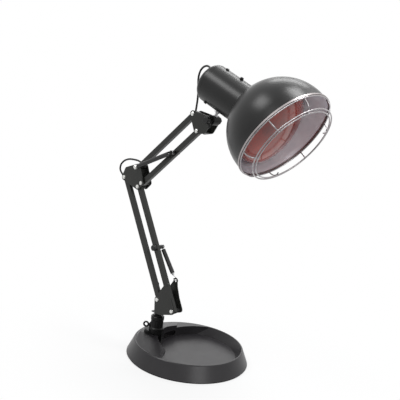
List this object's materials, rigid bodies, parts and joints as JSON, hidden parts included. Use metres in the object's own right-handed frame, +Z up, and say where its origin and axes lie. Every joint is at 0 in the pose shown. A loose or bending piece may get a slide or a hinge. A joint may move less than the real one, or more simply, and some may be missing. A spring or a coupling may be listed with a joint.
{
  "type": "heat lamp",
  "caption": "Swing-arm infrared heat lamp: dished round base with a clamp, sprung parallelogram arms, tilting black head with bowl shade, red reflector bulb and wire guard.",
  "frame": {"origin": "centre of the round base's underside, on the surface it stands on", "axes": "+Z up; the arms swing in planes parallel to XZ and the head faces +X; the base is turned 34 degrees under the arms"},
  "size_m": [0.3653, 0.2006, 0.4566],
  "materials": {
    "base_paint": "satin black powder coat",
    "foam_pad": "matt foam rubber",
    "iron": "raw cast",
    "zinc": "zinc plated",
    "satin_black": "satin black",
    "arm_paint": "satin black enamel",
    "rivet_steel": "bright",
    "soft_black": "matt",
    "black_plastic": "fine matt",
    "spring_steel": "bright",
    "sleeve_plastic": "satin sleeve",
    "chrome": "polished",
    "head_paint": "semi-gloss black",
    "ring_aluminium": "turned",
    "porcelain": "glazed",
    "brass": "turned",
    "cap_aluminium": "rolled thread",
    "red_glass": "red reflector glass",
    "bright_trim": "bright edge",
    "guard_wire": "polished wire",
    "lead_rubber": "matt flexible lead"
  },
  "bodies": {
    "base": {"base_shell": "base_paint", "base_pad": "foam_pad", "ballast": "iron", "ballast_screws": "zinc", "clamp_frame": "satin_black", "clamp_pad": "foam_pad"},
    "clamp_screw": {"clamp_screw": "zinc"},
    "lock_screw": {"lock_screw": "satin_black"},
    "lower_bracket": {"swivel_pin": "satin_black", "lower_bracket": "arm_paint", "lower_rivets": "rivet_steel"},
    "rear_bar": {"rear_bar": "arm_paint", "outlet_grommet": "soft_black", "lead_lower_run": "lead_rubber"},
    "front_bar": {"front_bar": "arm_paint", "lower_spring_bolt": "black_plastic", "lower_spring": "spring_steel", "lower_spring_sleeve": "sleeve_plastic"},
    "elbow_bracket": {"elbow_bracket": "arm_paint", "elbow_rivets": "rivet_steel", "lead_elbow_loop": "lead_rubber"},
    "support_bar": {"support_bar": "arm_paint", "upper_spring_bolt": "satin_black", "upper_spring": "spring_steel", "upper_spring_sleeve": "sleeve_plastic"},
    "tie_bar": {"tie_bar": "arm_paint", "lead_upper_run": "lead_rubber"},
    "head_bracket": {"head_bracket": "arm_paint", "head_rivets": "rivet_steel", "tilt_bolt": "satin_black", "tilt_nut": "satin_black"},
    "tilt_knob": {"tilt_knob": "black_plastic"},
    "head": {"tilt_knuckle": "satin_black", "stem": "chrome", "stem_nut": "zinc", "housing": "head_paint", "neck_ring": "ring_aluminium", "rear_cap": "head_paint", "cap_screws": "satin_black", "lead_gland": "soft_black", "lampholder": "porcelain", "holder_nipple": "brass", "switch_body": "black_plastic", "shade": "head_paint", "trim_ring": "bright_trim", "guard_rings": "guard_wire", "guard_ribs": "guard_wire", "lead_head_loop": "lead_rubber"},
    "bulb": {"bulb_cap": "cap_aluminium", "bulb_glass": "red_glass"},
    "switch_knob": {"switch_knob": "black_plastic"}
  },
  "joints": [
    {"name": "base_swivel", "type": "hinge", "parent": "base", "child": "lower_bracket", "pos_m": [-0.04477, -0.0302, 0.046], "axis": [0, 0, 1], "continuous": true},
    {"name": "lower_arm", "type": "hinge", "parent": "lower_bracket", "child": "rear_bar", "pos_m": [-0.04227, -0.0302, 0.0885], "axis": [0, 1, 0], "range_deg": [-24, 42], "deforming": ["lower_spring", "lower_spring_sleeve"]},
    {"name": "front_bar_pivot", "type": "hinge", "parent": "lower_bracket", "child": "front_bar", "pos_m": [-0.00977, -0.0302, 0.0795], "axis": [0, 1, 0], "range_deg": [-24, 42]},
    {"name": "elbow", "type": "hinge", "parent": "rear_bar", "child": "elbow_bracket", "pos_m": [-0.1456, -0.0302, 0.26323], "axis": [0, 1, 0], "range_deg": [-42, 24]},
    {"name": "upper_arm", "type": "hinge", "parent": "elbow_bracket", "child": "support_bar", "pos_m": [-0.1063, -0.0302, 0.26133], "axis": [0, 1, 0], "range_deg": [-28, 50], "deforming": ["upper_spring", "upper_spring_sleeve", "lead_elbow_loop"]},
    {"name": "tie_bar_pivot", "type": "hinge", "parent": "elbow_bracket", "child": "tie_bar", "pos_m": [-0.1178, -0.0302, 0.28493], "axis": [0, 1, 0], "range_deg": [-28, 50]},
    {"name": "head_level", "type": "hinge", "parent": "support_bar", "child": "head_bracket", "pos_m": [-0.00488, -0.0302, 0.35928], "axis": [0, 1, 0], "range_deg": [-50, 28]},
    {"name": "head_tilt", "type": "hinge", "parent": "head_bracket", "child": "head", "pos_m": [0.01682, -0.0302, 0.37798], "axis": [0, 1, 0], "range_deg": [-20, 55], "deforming": ["lead_head_loop"]},
    {"name": "tilt_knob_turn", "type": "hinge", "parent": "head_bracket", "child": "tilt_knob", "pos_m": [0.01682, -0.0442, 0.37798], "axis": [0, 1, 0], "continuous": true},
    {"name": "switch_turn", "type": "hinge", "parent": "head", "child": "switch_knob", "pos_m": [0.05705, -0.0302, 0.44062], "axis": [0.3649, 0, 0.9311], "range_deg": [0, 90]},
    {"name": "bulb_turn", "type": "hinge", "parent": "head", "child": "bulb", "pos_m": [0.0299, -0.0302, 0.42065], "axis": [0.9311, 0, -0.3649], "continuous": true},
    {"name": "lock_screw_turn", "type": "hinge", "parent": "base", "child": "lock_screw", "pos_m": [-0.04477, -0.0302, 0.043], "axis": [-0.829, -0.5592, 0], "continuous": true},
    {"name": "clamp_screw_turn", "type": "hinge", "parent": "base", "child": "clamp_screw", "pos_m": [-0.04974, -0.03355, 0.012], "axis": [0, 0, 1], "continuous": true}
  ],
  "couplings": [
    {"joint": "front_bar_pivot", "follows": "lower_arm", "ratio": 1},
    {"joint": "elbow", "follows": "lower_arm", "ratio": -1},
    {"joint": "tie_bar_pivot", "follows": "upper_arm", "ratio": 1},
    {"joint": "head_level", "follows": "upper_arm", "ratio": -1}
  ]
}
